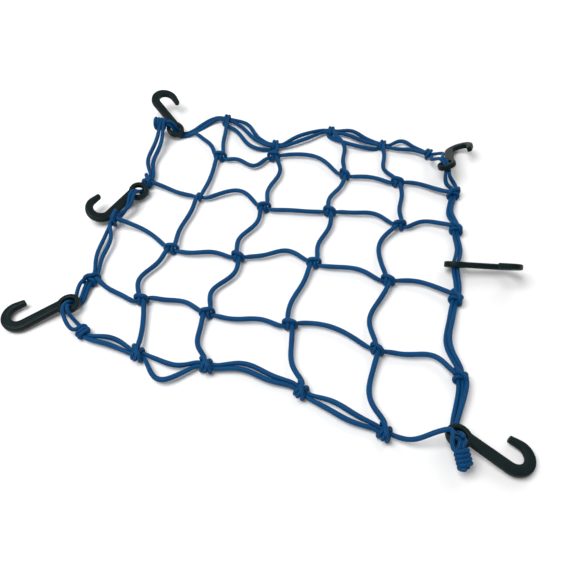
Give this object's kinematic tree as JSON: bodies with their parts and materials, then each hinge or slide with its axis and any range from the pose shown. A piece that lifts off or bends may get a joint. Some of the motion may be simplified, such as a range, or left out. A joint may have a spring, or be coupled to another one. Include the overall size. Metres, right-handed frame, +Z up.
{
  "type": "luggage net with hooks",
  "caption": "Knotted elastic cord net with open square cells, a doubled edge cord and a plastic hook at its corners and sides, lying loosely on a surface.",
  "frame": {"origin": "middle of the net's outline, on the surface that it lies on", "axes": "+X across the net, the longer side; +Y away from the near edge; +Z up"},
  "size_m": [0.412, 0.3548, 0.0273],
  "materials": {
    "cord": "braided elastic cord, matt with a soft sheen",
    "hook": "dark moulded plastic, slightly glossy"
  },
  "bodies": {
    "root": {"columns_1_2": "cord", "columns_3_4": "cord", "edge_far_a": "cord", "edge_far_b": "cord", "edge_left_a": "cord", "edge_left_b": "cord", "edge_near_a": "cord", "edge_near_b": "cord", "edge_right_a": "cord", "edge_right_b": "cord", "hook_far_left": "hook", "hook_far_right": "hook", "hook_mid_left": "hook", "hook_mid_right": "hook", "hook_near_left": "hook", "hook_near_right": "hook", "row_1": "cord", "row_2": "cord", "row_3": "cord", "row_4": "cord"}
  },
  "joints": []
}
